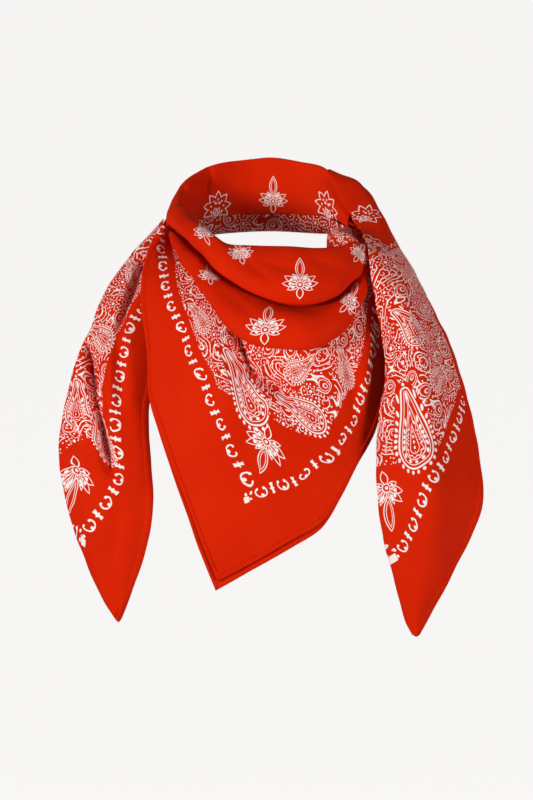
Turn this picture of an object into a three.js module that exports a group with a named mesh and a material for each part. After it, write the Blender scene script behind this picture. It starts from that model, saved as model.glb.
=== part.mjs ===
// A large square bandana, folded to a triangle and worn wound once round the neck.
// The triangle's point hangs at the front, both ends cross behind the neck and come forward over the
// shoulders. Millimetres, +Z up, the front faces -Y. The origin is the middle of the neck loop.
import * as THREE from "three";

// Driving dimensions
const CLOTH_WALL = 1.6;
const VIEW_TILT_DEG = 5.5;
const FOLD_GAP = 4.4;
const BAND_HALF_WIDTH = 80;
const BAND_HALF_DEPTH = 78;
const UNDER_LAYER_SET_BACK = 2.3;
const UNDER_TRIM = 2;
const PANEL_BELLY = 7;

const CLOTH_RED = 0xd62406;
const VIEW_SLOPE = Math.tan(THREE.MathUtils.degToRad(VIEW_TILT_DEG));

// The tables give each point as [x, h, y]: x to the right, y away from the front, and h the height at
// which the point is seen from the front, looking down by VIEW_TILT_DEG. True height follows from them.
const place = ([x, h, y]) => new THREE.Vector3(x, y, h - y * VIEW_SLOPE);

// Neck band: round the back of the neck, folded over at the rim. A row for each section, from the right.
// angle: degrees round the loop from +X. rim, crease and low are heights, shoulder is the inner
// shoulder's height over the rim. inside, outside and set_in are measured outward from the rim.
const NECK_BAND = [
  { angle: 36, rim: 19.0, crease: 6, inside: -3.0, outside: 2.5, low: 8, shoulder: -4, set_in: -2 },
  { angle: 46, rim: 33.0, crease: 11, inside: -3.5, outside: 4.0, low: 11, shoulder: -5, set_in: -2 },
  { angle: 57, rim: 49.0, crease: 13, inside: -4.0, outside: 5.5, low: 12, shoulder: -5, set_in: -2 },
  { angle: 73, rim: 54.5, crease: 14, inside: -5.0, outside: 6.0, low: 9, shoulder: -5, set_in: -2 },
  { angle: 92, rim: 57.5, crease: 14, inside: -5.5, outside: 6.0, low: 8, shoulder: -5, set_in: -2 },
  { angle: 112, rim: 55.5, crease: 14, inside: -5.0, outside: 6.0, low: 9, shoulder: -5, set_in: -2 },
  { angle: 132, rim: 49.5, crease: 13, inside: -6.0, outside: 5.5, low: 10, shoulder: -4, set_in: -3 },
  { angle: 150, rim: 39.0, crease: 10, inside: -10.0, outside: 4.0, low: 11, shoulder: 0, set_in: -5 },
  { angle: 164, rim: 28.0, crease: 6, inside: -14.0, outside: 2.0, low: 12, shoulder: 4, set_in: -7 },
  { angle: 177.5, rim: 20.5, crease: 6, inside: -18.0, outside: 0.5, low: 11, shoulder: 6, set_in: -9 },
];

// Neck wrap: the other end's turn. It lies under the band's lower edge and up its outside.
const NECK_WRAP = [
  { angle: 28, inner: -7, outer: 3, top_in: 4, bottom: -4, top_out: 8 },
  { angle: 44, inner: -3, outer: 7, top_in: 8, bottom: -1, top_out: 16 },
  { angle: 66, inner: -2, outer: 9, top_in: 17, bottom: -1, top_out: 23 },
  { angle: 90, inner: -2, outer: 9, top_in: 18, bottom: 0, top_out: 27 },
  { angle: 114, inner: -2, outer: 9, top_in: 17, bottom: -1, top_out: 25 },
  { angle: 138, inner: -3, outer: 8.5, top_in: 12, bottom: -3, top_out: 20 },
  { angle: 156, inner: -6, outer: 7, top_in: 4, bottom: -6, top_out: 15 },
  { angle: 170, inner: -8, outer: 5, top_in: -1, bottom: -9, top_out: 11 },
];

// Upper roll of the cowl, from the left shoulder to the right. tuck and under are its hidden edges.
const COWL_UPPER = [
  { tuck: [-60, 8, 2], edge: [-63, 24, 1], crest: [-72, 27, 0], roll: [-78, 22, 0], valley: [-80, 14, -1], under: [-76, 9, -1] },
  { tuck: [-52, -4, -16], edge: [-55, 13, -17], crest: [-64, 17, -21], roll: [-71, 11, -25], valley: [-67, 3, -29], under: [-62, 3, -23] },
  { tuck: [-40, -16, -34], edge: [-45, 3, -36], crest: [-52, 8, -43], roll: [-56, 0, -49], valley: [-53, -11, -50], under: [-48, -10, -42] },
  { tuck: [-26, -24, -44], edge: [-35, -3, -48], crest: [-36, -4, -59], roll: [-40, -13, -65], valley: [-40, -26, -66], under: [-36, -24, -58] },
  { tuck: [-12, -26, -50], edge: [-18, -4.6, -56], crest: [-20, -16, -68], roll: [-22, -27, -76], valley: [-24, -36, -75], under: [-21, -34, -66] },
  { tuck: [2, -28, -54], edge: [0, -5.2, -60], crest: [-1, -19, -74], roll: [-3, -34, -83], valley: [-6, -44, -81], under: [-4, -42, -71] },
  { tuck: [16, -28, -54], edge: [18, -5.8, -62], crest: [17, -21, -78], roll: [15, -38, -87], valley: [13, -50, -84], under: [13, -47, -74] },
  { tuck: [34, -28, -52], edge: [38, -5.8, -60], crest: [37, -21, -76], roll: [36, -38, -84], valley: [35, -49.5, -82], under: [34, -46, -72] },
  { tuck: [48, -24, -46], edge: [54, -5.3, -55], crest: [55, -17, -68], roll: [55, -31, -76], valley: [53, -43, -75], under: [51, -40, -66] },
  { tuck: [59, -18, -37], edge: [66, -5, -46], crest: [68, -12, -55], roll: [68.5, -21, -60], valley: [66, -31, -61], under: [63, -29, -54] },
  { tuck: [66, -14, -30], edge: [73, -8, -35], crest: [76, -10, -40], roll: [77, -12, -43], valley: [76, -17, -45], under: [72, -17, -42] },
];

// Lower roll of the cowl, in front of and below the first.
const COWL_LOWER = [
  { over: [-75, 6, -3], recess: [-77, 8, -5], ridge: [-79, 6, -7], belly: [-79, 3, -9], valley: [-77.5, -1, -10], under: [-74, -1, -7] },
  { over: [-65, -3, -20], recess: [-67.5, -1, -25], ridge: [-72, -3, -31], belly: [-74, -7, -34], valley: [-72, -11, -35], under: [-68, -10, -28] },
  { over: [-52, -14, -36], recess: [-55, -13, -43], ridge: [-61, -15, -52], belly: [-65, -20, -55], valley: [-63.5, -25, -55], under: [-60, -23, -47] },
  { over: [-39, -28, -51], recess: [-42, -28, -59], ridge: [-48, -31, -69], belly: [-54, -36, -72], valley: [-53, -41, -72], under: [-49, -38, -63] },
  { over: [-23, -38, -59], recess: [-25, -39, -68], ridge: [-33, -45, -80], belly: [-39, -53, -85], valley: [-40, -60, -84], under: [-36, -57, -74] },
  { over: [-5, -46, -63], recess: [-7, -48, -74], ridge: [-13, -57, -89], belly: [-19, -69, -95], valley: [-21, -78, -93], under: [-18, -74, -83] },
  { over: [14, -51, -66], recess: [13, -53, -77], ridge: [11, -61, -92], belly: [8, -74, -99], valley: [6, -85.5, -97], under: [6, -80, -87] },
  { over: [34, -50, -63], recess: [35, -53, -75], ridge: [37, -60, -89], belly: [36, -72, -96], valley: [36, -84, -94], under: [34, -79, -84] },
  { over: [51, -44, -57], recess: [53, -46, -68], ridge: [57, -52, -80], belly: [59, -62, -85], valley: [59, -70, -83], under: [56, -66, -75] },
  { over: [62, -33, -47], recess: [65, -34, -56], ridge: [70, -37, -64], belly: [73, -42, -66], valley: [73, -46, -66], under: [70, -44, -60] },
  { over: [70, -21, -38], recess: [73, -20, -43], ridge: [76, -20, -46], belly: [77, -22, -47], valley: [76.5, -26, -47], under: [74, -26, -44] },
];

// The bunched roll inside the right side of the loop, from the wrap forward to the cowl.
const GATHER_ROLL = [
  { in_low: [57, -3, 34], in_top: [58, 6, 35], top: [62, 9, 36], out_top: [67, 8, 35], out_low: [69, -1, 33] },
  { in_low: [46, -6, 17], in_top: [46, 6, 18], top: [54, 9, 19], out_top: [63, 8, 17], out_low: [67, -2, 14] },
  { in_low: [45, -12, 0], in_top: [47, 3, 1], top: [55, 7.5, 0], out_top: [64, 5, -3], out_low: [68, -5, -6] },
  { in_low: [52, -16, -15], in_top: [54, 0, -16], top: [60, 4, -17], out_top: [67, 1, -19], out_low: [70, -9, -20] },
  { in_low: [60, -15, -25], in_top: [62, -4, -27], top: [66, -1, -28], out_top: [70, -3, -30], out_low: [72, -9, -30] },
];

// Front panel: top is its edge tucked behind the lower roll, hem its outer edge. The rows go from the
// left shoulder down to the point, which is the row named corner, and up again on the right.
const FRONT_PANEL = [
  { top: [-79.5, 10, 4], hem: [-84, 14, 1] },
  { top: [-77, -3, -3], hem: [-96, -10, -22] },
  { top: [-69, -12, -22], hem: [-101, -45, -48] },
  { top: [-60, -23, -41], hem: [-96, -86, -64] },
  { top: [-49, -38, -57], hem: [-94, -125, -76] },
  { top: [-40, -52, -67], hem: [-88, -143, -82] },
  { top: [-31, -62, -73], hem: [-76, -176, -91] },
  { top: [-22, -70, -77], hem: [-64, -208, -96] },
  { top: [-13, -74, -80], hem: [-55, -232, -99] },
  { top: [-3, -77, -82], hem: [-41, -267, -101], corner: true },
  { top: [6, -79, -83], hem: [-16, -254, -101] },
  { top: [17, -79, -83], hem: [17, -235, -100] },
  { top: [27, -78, -82], hem: [40, -221, -97] },
  { top: [36, -76, -80], hem: [55, -200, -93] },
  { top: [46, -71, -76], hem: [67.5, -176, -87] },
  { top: [56, -64, -70], hem: [82, -150, -77] },
  { top: [64, -54, -62], hem: [89, -115, -65] },
  { top: [69, -42, -52], hem: [90, -80, -54] },
  { top: [72, -31, -41], hem: [85, -50, -44] },
  { top: [73, -20, -35], hem: [78, -30, -37] },
];

// How far the under layer's hem reaches past the panel's, in the same order, as measured on the cloth
const UNDER_REACH = [0, 0, -1.5, -1.5, 1, 2.5, 4.5, 6, 7.5, 8, 6, 6, 5, 2.5, 2, 1.5, 1, 0, 0, 0];

// Soft folds pressed into the hanging panel: a trough along a line, seen as [x, h], its depth, and its
// half width. The side nearer the left hem stands over it.
const PANEL_FOLDS = [
  { from: [-30, -84], to: [14, -128], depth: 9, half_width: 13 },
  { from: [26, -84], to: [46, -150], depth: 3, half_width: 16 },
];

// Free ends: fold is the edge where the two layers join, front the middle of the upper layer, hem the
// open edge. The rows go from the neck down to the tip.
const END_RIGHT = [
  { fold: [48.5, 51, 57], front: [54, 54.5, 62], hem: [66, 22, 71] },
  { fold: [54, 38, 43], front: [66, 45.5, 46], hem: [86, 12, 54] },
  { fold: [60, 27, 28], front: [76, 34, 29], hem: [98, -4, 40] },
  { fold: [66, 16, 7], front: [86, 18, 9], hem: [109, -18, 27] },
  { fold: [73, 5, -20], front: [96, -2, -11], hem: [118, -34, 12] },
  { fold: [77, -9, -49], front: [103, -19, -36], hem: [126, -52, -6] },
  { fold: [78.5, -24, -64], front: [106, -40, -61], hem: [134, -69, -24] },
  { fold: [83, -52, -74], front: [111, -66, -81], hem: [142, -86, -40] },
  { fold: [88, -82, -84], front: [117, -94, -95], hem: [149, -108, -52] },
  { fold: [90, -109, -90], front: [121, -120, -104], hem: [155.5, -132, -62] },
  { fold: [85.5, -136, -95], front: [123, -144, -109], hem: [160.5, -154, -70] },
  { fold: [83, -166, -99], front: [124, -172, -111], hem: [164.5, -178, -77] },
  { fold: [83.5, -198, -101], front: [125, -201, -110], hem: [166, -203, -83] },
  { fold: [88, -232, -102], front: [123, -232, -109], hem: [156.5, -233, -88] },
  { fold: [97, -266, -101], front: [118, -266, -106], hem: [139.5, -266, -93] },
  { fold: [105, -296, -98], front: [114.5, -296, -101], hem: [124, -296, -94] },
  { fold: [111, -309, -96], front: [113.8, -310.3, -97], hem: [117, -308.5, -95] },
];
const END_LEFT = [
  { fold: [-83.5, 17, 10], front: [-85, 8, 7], hem: [-82, -3, 5] },
  { fold: [-98, 0, 3], front: [-92, -9, -5], hem: [-84, -22, -8] },
  { fold: [-110, -13, -4], front: [-100, -25, -16], hem: [-85, -42, -23] },
  { fold: [-122, -29, -12], front: [-107, -41, -27], hem: [-86, -62, -36] },
  { fold: [-132, -48, -22], front: [-113, -61, -39], hem: [-88, -82, -46] },
  { fold: [-141, -72, -33], front: [-118, -84, -51], hem: [-90, -102, -54] },
  { fold: [-149, -91, -41], front: [-122, -102, -59], hem: [-92, -118, -59] },
  { fold: [-156, -112, -48], front: [-126, -120, -66], hem: [-94.5, -132, -63] },
  { fold: [-161, -136, -55], front: [-128, -142, -72], hem: [-94.5, -150, -67] },
  { fold: [-164, -170, -63], front: [-128, -173, -78], hem: [-92.5, -178, -71] },
  { fold: [-161, -196, -68], front: [-126, -200, -81], hem: [-91, -204, -74] },
  { fold: [-154, -224, -72], front: [-124, -226, -83], hem: [-93.5, -228, -77] },
  { fold: [-145, -248, -76], front: [-122, -249, -84], hem: [-99, -250, -79] },
  { fold: [-134, -273, -79], front: [-120, -274, -84], hem: [-107, -274, -81] },
  { fold: [-124, -291, -81], front: [-118.5, -292, -83], hem: [-113.5, -292, -81.5] },
  { fold: [-120, -298, -81.5], front: [-118, -299.3, -82], hem: [-115.8, -297.5, -81.5] },
];
const END_LEFT_FOLDS = [
  { from: [-98, -34], to: [-124, -82], depth: 9, half_width: 12 },
  { from: [-141, -84], to: [-118, -186], depth: 9, half_width: 12 },
];
const END_RIGHT_FOLDS = [
  { from: [92, -30], to: [104, -120], depth: 4, half_width: 11 },
  { from: [134, -120], to: [146, -226], depth: 3, half_width: 14 },
];

// Steps of each stretch: along its length and across it
const STEPS = {
  neck_band: [26, 12],
  neck_wrap: [26, 10],
  cowl_upper: [28, 11],
  cowl_lower: [28, 11],
  gather_roll: [9, 9],
  front_panel: [38, 9],
  end_left: [24, 16],
  end_right: [28, 16],
};

// Points at even steps from row to row, so that the columns of a table stay side by side.
function evenly(points, steps) {
  const curve = new THREE.CatmullRomCurve3(points, false, "centripetal");
  return Array.from({ length: steps + 1 }, (_, i) => curve.getPoint(i / steps));
}

// One named column of a table, as a smooth line of points. A hem breaks sharply at the row marked corner.
function column(rows, name, steps) {
  const points = rows.map((row) => row[name]);
  const corner = rows.findIndex((row) => row.corner);
  if (corner < 0 || name !== "hem") {
    return evenly(points, steps);
  }
  const before = Math.round((steps * corner) / (rows.length - 1));
  return [
    ...evenly(points.slice(0, corner + 1), before),
    ...evenly(points.slice(corner), steps - before).slice(1),
  ];
}

// A grid of points: rows of the table joined along, then each cross section joined across.
function grid(rows, names, [along, across]) {
  const lines = names.map((name) => column(rows, name, along));
  return Array.from({ length: along + 1 }, (_, i) => evenly(lines.map((line) => line[i]), across));
}

function normalsOf(points) {
  const last = points.length - 1;
  return points.map((row, i) => row.map((_, j) => {
    const along = points[Math.min(i + 1, last)][j].clone().sub(points[Math.max(i - 1, 0)][j]);
    const across = row[Math.min(j + 1, row.length - 1)].clone().sub(row[Math.max(j - 1, 0)]);
    return along.cross(across).normalize();
  }));
}

// A closed wall of the cloth's thickness, half of it on each side of the grid.
function clothWall(points, thickness = CLOTH_WALL) {
  const rows = points.length;
  const cols = points[0].length;
  const normals = normalsOf(points);
  const side = (offset) => points.flatMap((row, i) => row.map((p, j) => (
    p.clone().addScaledVector(normals[i][j], offset)
  )));
  const vertices = [...side(thickness / 2), ...side(-thickness / 2)];
  const back = rows * cols;
  const faces = [];
  const quad = (a, b, c, d) => faces.push(a, b, c, a, c, d);
  const at = (i, j) => i * cols + j;
  for (let i = 0; i < rows - 1; i += 1) {
    for (let j = 0; j < cols - 1; j += 1) {
      quad(at(i, j), at(i + 1, j), at(i + 1, j + 1), at(i, j + 1));
      quad(back + at(i, j), back + at(i, j + 1), back + at(i + 1, j + 1), back + at(i + 1, j));
    }
  }
  const rim = [
    ...Array.from({ length: rows - 1 }, (_, i) => at(i, 0)),
    ...Array.from({ length: cols - 1 }, (_, j) => at(rows - 1, j)),
    ...Array.from({ length: rows - 1 }, (_, i) => at(rows - 1 - i, cols - 1)),
    ...Array.from({ length: cols - 1 }, (_, j) => at(0, cols - 1 - j)),
  ];
  rim.forEach((a, k) => {
    const b = rim[(k + 1) % rim.length];
    quad(a, a + back, b + back, b);
  });
  const geometry = new THREE.BufferGeometry();
  const positions = vertices.flatMap((p) => [p.x, p.y, p.z]);
  geometry.setAttribute("position", new THREE.Float32BufferAttribute(positions, 3));
  geometry.setIndex(faces);
  geometry.computeVertexNormals();
  return geometry;
}

// Presses the folds of a table into a grid: points near a fold's line move back, most at its middle.
function pressed(points, folds) {
  folds.forEach(({ from, to, depth, half_width: halfWidth }) => {
    const a = new THREE.Vector2(...from);
    const run = new THREE.Vector2(...to).sub(a);
    const length = run.length();
    run.normalize();
    points.flat().forEach((p) => {
      const seen = new THREE.Vector2(p.x, p.z + p.y * VIEW_SLOPE).sub(a);
      const t = THREE.MathUtils.clamp(seen.dot(run) / length, 0, 1);
      const off = seen.clone().addScaledVector(run, -t * length).length() / halfWidth;
      p.y += depth * Math.sin(Math.PI * Math.min(t + 0.12, 1)) ** 0.7 * Math.exp(-off * off * 2);
    });
  });
  return points;
}

const placed = (rows) => rows.map((row) => Object.fromEntries(
  Object.entries(row).map(([name, value]) => [name, Array.isArray(value) ? place(value) : value]),
));

function roundLoop(angle, extra, z) {
  const turn = THREE.MathUtils.degToRad(angle);
  return new THREE.Vector3(
    (BAND_HALF_WIDTH + extra) * Math.cos(turn),
    (BAND_HALF_DEPTH + extra) * Math.sin(turn),
    z,
  );
}

function neckBand() {
  const rows = NECK_BAND.map(({ angle, rim, crease, inside, outside, low, shoulder, set_in: setIn }) => ({
    inner_low: roundLoop(angle, inside * 0.85 - 1, crease),
    inner_mid: roundLoop(angle, inside - 1, (crease + rim) * 0.5),
    inner_rim: roundLoop(angle, setIn, rim + shoulder),
    rim: roundLoop(angle, 0, rim),
    outer_rim: roundLoop(angle, outside * 0.6, rim - 6),
    outer_mid: roundLoop(angle, outside, (low + rim) * 0.5),
    outer_low: roundLoop(angle, outside, low),
  }));
  const names = ["inner_low", "inner_mid", "inner_rim", "rim", "outer_rim", "outer_mid", "outer_low"];
  return clothWall(grid(rows, names, STEPS.neck_band));
}

function neckWrap() {
  const rows = NECK_WRAP.map(({ angle, inner, outer, top_in: topIn, bottom, top_out: topOut }) => ({
    inner_top: roundLoop(angle, inner, topIn),
    inner_low: roundLoop(angle, inner, bottom + 3),
    bottom: roundLoop(angle, (inner + outer) / 2, bottom),
    outer_low: roundLoop(angle, outer, bottom + 4),
    outer_top: roundLoop(angle, outer, topOut),
  }));
  return clothWall(grid(rows, ["inner_top", "inner_low", "bottom", "outer_low", "outer_top"],
    STEPS.neck_wrap));
}

function cowl(table, steps) {
  const rows = placed(table);
  return clothWall(grid(rows, Object.keys(table[0]), steps));
}

// The panel bellies forward a little between its two edges.
function panelGrid() {
  const rows = placed(FRONT_PANEL).map((row) => {
    const between = (share) => {
      const p = row.top.clone().lerp(row.hem, share);
      p.y -= PANEL_BELLY * Math.sin(Math.PI * share);
      return p;
    };
    return { ...row, upper: between(0.3), lower: between(0.65) };
  });
  return pressed(grid(rows, ["top", "upper", "lower", "hem"], STEPS.front_panel), PANEL_FOLDS);
}

// The under layer is the panel moved back along its normals, with a hem that reaches further. It leaves
// off the last steps at both shoulders, where the layers run out to nothing.
function underGrid() {
  const points = panelGrid();
  const normals = normalsOf(points);
  return points.map((row, i) => {
    const last = row.length - 1;
    const outward = row[last].clone().sub(row[last - 2]).normalize();
    const at = (i / (points.length - 1)) * (UNDER_REACH.length - 1);
    const low = Math.min(Math.floor(at), UNDER_REACH.length - 2);
    const reach = THREE.MathUtils.lerp(UNDER_REACH[low], UNDER_REACH[low + 1], at - low);
    return row.map((p, j) => p.clone()
      .addScaledVector(normals[i][j], UNDER_LAYER_SET_BACK)
      .addScaledVector(outward, reach * (j / last) ** 2));
  }).slice(UNDER_TRIM, -UNDER_TRIM);
}

// A free end: the upper layer from hem to fold, round the fold, and the under layer back to its hem.
function freeEnd(table, folds, steps) {
  const rows = placed(table).map(({ fold, front, hem }, i, all) => {
    const narrow = Math.min(1, (all.length - 1 - i) / 3 + 0.25);
    const gap = FOLD_GAP * narrow;
    const back = new THREE.Vector3(0, gap, -gap * 0.2);
    const near = (a, b, share) => a.clone().lerp(b, share);
    return {
      hem,
      front_hem: near(hem, front, 0.5).add(new THREE.Vector3(0, -2 * narrow, 0)),
      front,
      front_fold: near(fold, front, 0.3).add(new THREE.Vector3(0, -1.5 * narrow, 0)),
      fold: fold.clone().addScaledVector(back, 0.5),
      back_fold: near(fold, front, 0.3).add(back),
      back: front.clone().addScaledVector(back, 1.6),
      back_hem: near(hem, fold, 0.06).addScaledVector(back, 1),
    };
  });
  return clothWall(pressed(grid(rows, Object.keys(rows[0]), steps), folds));
}

function clothMesh(name, geometry) {
  const material = new THREE.MeshStandardMaterial({ color: CLOTH_RED, roughness: 0.82, metalness: 0 });
  const mesh = new THREE.Mesh(geometry, material);
  mesh.name = name;
  return mesh;
}

const bandana = new THREE.Group();
bandana.add(
  clothMesh("neck_band", neckBand()),
  clothMesh("neck_wrap", neckWrap()),
  clothMesh("cowl_upper", cowl(COWL_UPPER, STEPS.cowl_upper)),
  clothMesh("cowl_lower", cowl(COWL_LOWER, STEPS.cowl_lower)),
  clothMesh("gather_roll", cowl(GATHER_ROLL, STEPS.gather_roll)),
  clothMesh("front_panel", clothWall(panelGrid())),
  clothMesh("front_under", clothWall(underGrid())),
  clothMesh("end_left", freeEnd(END_LEFT, END_LEFT_FOLDS, STEPS.end_left)),
  clothMesh("end_right", freeEnd(END_RIGHT, END_RIGHT_FOLDS, STEPS.end_right)),
);

export default bandana;
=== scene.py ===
# A large square bandana with a paisley border, worn wound once round the neck: the cloth and its print.
import math

import bpy
import numpy as np
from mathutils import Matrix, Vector


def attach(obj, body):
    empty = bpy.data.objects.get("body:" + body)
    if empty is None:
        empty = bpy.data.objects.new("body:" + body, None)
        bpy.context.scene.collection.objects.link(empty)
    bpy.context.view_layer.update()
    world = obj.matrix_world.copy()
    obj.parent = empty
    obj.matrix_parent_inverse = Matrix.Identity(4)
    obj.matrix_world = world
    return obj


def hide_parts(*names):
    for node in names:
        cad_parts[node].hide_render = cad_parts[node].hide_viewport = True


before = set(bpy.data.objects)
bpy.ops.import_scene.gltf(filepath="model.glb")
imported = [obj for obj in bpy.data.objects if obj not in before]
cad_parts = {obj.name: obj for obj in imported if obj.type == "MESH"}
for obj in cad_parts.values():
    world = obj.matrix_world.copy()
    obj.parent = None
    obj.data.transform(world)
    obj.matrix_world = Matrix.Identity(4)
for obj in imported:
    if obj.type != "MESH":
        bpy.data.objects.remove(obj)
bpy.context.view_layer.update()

# Sizes in millimetres, as in the part's source
VIEW_TILT = math.radians(5.5)
VIEW_SLOPE = math.tan(VIEW_TILT)
BAND_HALF_WIDTH = 80
BAND_HALF_DEPTH = 78
FOLD_GAP = 4.4
UNDER_SET_BACK = 2.3
UNDER_TRIM = 0.055
PANEL_BELLY = 7
CLOTH_THICKNESS = 0.8
HEM_WIDTH = 6.0
CHAIN_AT = 45.0
MM = 0.001

# Neck band: angle round the loop from +X, heights, and distances outward from the rim
BAND_COLUMNS = ("angle", "rim", "crease", "inside", "outside", "low", "shoulder", "set_in")
NECK_BAND = [
    (36, 19.0, 6, -3.0, 2.5, 8, -4, -2),
    (46, 33.0, 11, -3.5, 4.0, 11, -5, -2),
    (57, 49.0, 13, -4.0, 5.5, 12, -5, -2),
    (73, 54.5, 14, -5.0, 6.0, 9, -5, -2),
    (92, 57.5, 14, -5.5, 6.0, 8, -5, -2),
    (112, 55.5, 14, -5.0, 6.0, 9, -5, -2),
    (132, 49.5, 13, -6.0, 5.5, 10, -4, -3),
    (150, 39.0, 10, -10.0, 4.0, 11, 0, -5),
    (164, 28.0, 6, -14.0, 2.0, 12, 4, -7),
    (174, 22.5, 6, -17.0, 0.8, 11, 6, -9),
]
WRAP_COLUMNS = ("angle", "inner", "outer", "top_in", "bottom", "top_out")
NECK_WRAP = [
    (28, -7, 3, 4, -4, 8),
    (44, -3, 7, 8, -1, 16),
    (66, -2, 9, 17, -1, 23),
    (90, -2, 9, 18, 0, 27),
    (114, -2, 9, 17, -1, 25),
    (138, -3, 8.5, 12, -3, 20),
    (156, -6, 7, 4, -6, 15),
    (170, -8, 5, -1, -9, 11),
]
# The other tables give points as (x, h, y): h is the height as seen from the front. A row for each section.
# Columns: tuck, edge, crest, roll, valley, under
COWL_UPPER = [
    ((-60, 8, 2), (-63, 24, 1), (-72, 27, 0), (-78, 22, 0), (-80, 14, -1), (-76, 9, -1)),
    ((-52, -4, -16), (-55, 13, -17), (-64, 17, -21), (-71, 11, -25), (-67, 3, -29), (-62, 3, -23)),
    ((-40, -16, -34), (-45, 3, -36), (-52, 8, -43), (-56, 0, -49), (-53, -11, -50), (-48, -10, -42)),
    ((-26, -24, -44), (-35, -3, -48), (-36, -4, -59), (-40, -13, -65), (-40, -26, -66), (-36, -24, -58)),
    ((-12, -26, -50), (-18, -4.6, -56), (-20, -16, -68), (-22, -27, -76), (-24, -36, -75), (-21, -34, -66)),
    ((2, -28, -54), (0, -5.2, -60), (-1, -19, -74), (-3, -34, -83), (-6, -44, -81), (-4, -42, -71)),
    ((16, -28, -54), (18, -5.8, -62), (17, -21, -78), (15, -38, -87), (13, -50, -84), (13, -47, -74)),
    ((34, -28, -52), (38, -5.8, -60), (37, -21, -76), (36, -38, -84), (35, -49.5, -82), (34, -46, -72)),
    ((48, -24, -46), (54, -5.3, -55), (55, -17, -68), (55, -31, -76), (53, -43, -75), (51, -40, -66)),
    ((59, -18, -37), (65, -1.5, -46), (68, -11, -55), (68.5, -21, -60), (66, -31, -61), (63, -29, -54)),
    ((66, -14, -30), (73, -3.5, -35), (76, -8, -40), (78, -14, -43), (78, -25, -44), (74, -32, -40)),
    ((76, -8, -20), (82, -2, -22), (88, -8, -25), (90, -20, -28), (88, -34, -30), (82, -39, -27)),
]
# Columns: over, recess, ridge, belly, valley, under
COWL_LOWER = [
    ((-75, 6, -3), (-77, 8, -5), (-79, 6, -7), (-79, 3, -9), (-77.5, -1, -10), (-74, -1, -7)),
    ((-65, -3, -20), (-67.5, -1, -25), (-72, -3, -31), (-74, -7, -34), (-72, -11, -35), (-68, -10, -28)),
    ((-52, -14, -36), (-55, -13, -43), (-61, -15, -52), (-65, -20, -55), (-63.5, -25, -55), (-60, -23, -47)),
    ((-39, -28, -51), (-42, -28, -59), (-48, -31, -69), (-54, -36, -72), (-53, -41, -72), (-49, -38, -63)),
    ((-23, -38, -59), (-25, -39, -68), (-33, -45, -80), (-39, -53, -85), (-40, -60, -84), (-36, -57, -74)),
    ((-5, -46, -63), (-7, -48, -74), (-13, -57, -89), (-19, -69, -95), (-21, -78, -93), (-18, -74, -83)),
    ((14, -51, -66), (13, -53, -77), (11, -61, -92), (8, -74, -99), (6, -85.5, -97), (6, -80, -87)),
    ((34, -50, -63), (35, -53, -75), (37, -60, -89), (36, -72, -96), (36, -84, -94), (34, -79, -84)),
    ((51, -44, -57), (53, -46, -68), (57, -52, -80), (59, -62, -85), (59, -70, -83), (56, -66, -75)),
    ((62, -33, -47), (65, -34, -56), (70, -37, -64), (73, -42, -66), (73, -46, -66), (70, -44, -60)),
    ((70, -21, -38), (73, -20, -43), (76, -20, -46), (77, -22, -47), (76.5, -26, -47), (74, -26, -44)),
]
# Columns: inside low, inside top, top, outside top, outside low
GATHER_ROLL = [
    ((57, -3, 34), (58, 6, 35), (62, 9, 36), (67, 8, 35), (69, -1, 33)),
    ((46, -6, 17), (46, 6, 18), (54, 9, 19), (63, 8, 17), (67, -2, 14)),
    ((45, -12, 0), (47, 3, 1), (55, 7.5, 0), (64, 5, -3), (68, -5, -6)),
    ((52, -16, -15), (54, 0, -16), (60, 4, -17), (67, 1, -19), (70, -9, -20)),
    ((60, -15, -25), (62, -4, -27), (66, -1, -28), (70, -3, -30), (72, -9, -30)),
]
# Columns: top, hem. The corner is the row where the two hems meet.
PANEL_CORNER = 9
FRONT_PANEL = [
    ((-79.5, 10, 4), (-84, 14, 1)),
    ((-77, -3, -3), (-96, -10, -22)),
    ((-69, -12, -22), (-101, -45, -48)),
    ((-60, -23, -41), (-96, -86, -64)),
    ((-49, -38, -57), (-94, -125, -76)),
    ((-40, -52, -67), (-88, -143, -82)),
    ((-31, -62, -73), (-76, -176, -91)),
    ((-22, -70, -77), (-64, -208, -96)),
    ((-13, -74, -80), (-55, -232, -99)),
    ((-3, -77, -82), (-41, -267, -101)),
    ((6, -79, -83), (-16, -254, -101)),
    ((17, -79, -83), (17, -235, -100)),
    ((27, -78, -82), (40, -221, -97)),
    ((36, -76, -80), (55, -200, -93)),
    ((46, -71, -76), (67.5, -176, -87)),
    ((56, -64, -70), (82, -150, -77)),
    ((64, -54, -62), (89, -115, -65)),
    ((69, -42, -52), (90, -80, -54)),
    ((72, -31, -41), (85, -50, -44)),
    ((73, -20, -35), (78, -30, -37)),
]
# How much further than the panel's hem the under layer reaches, for each row
UNDER_REACH = [0, 0, -1.5, -1.5, 1, 2.5, 4.5, 6, 7.5, 8, 6, 6, 5, 2.5, 2, 1.5, 1, 0, 0, 0]
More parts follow.
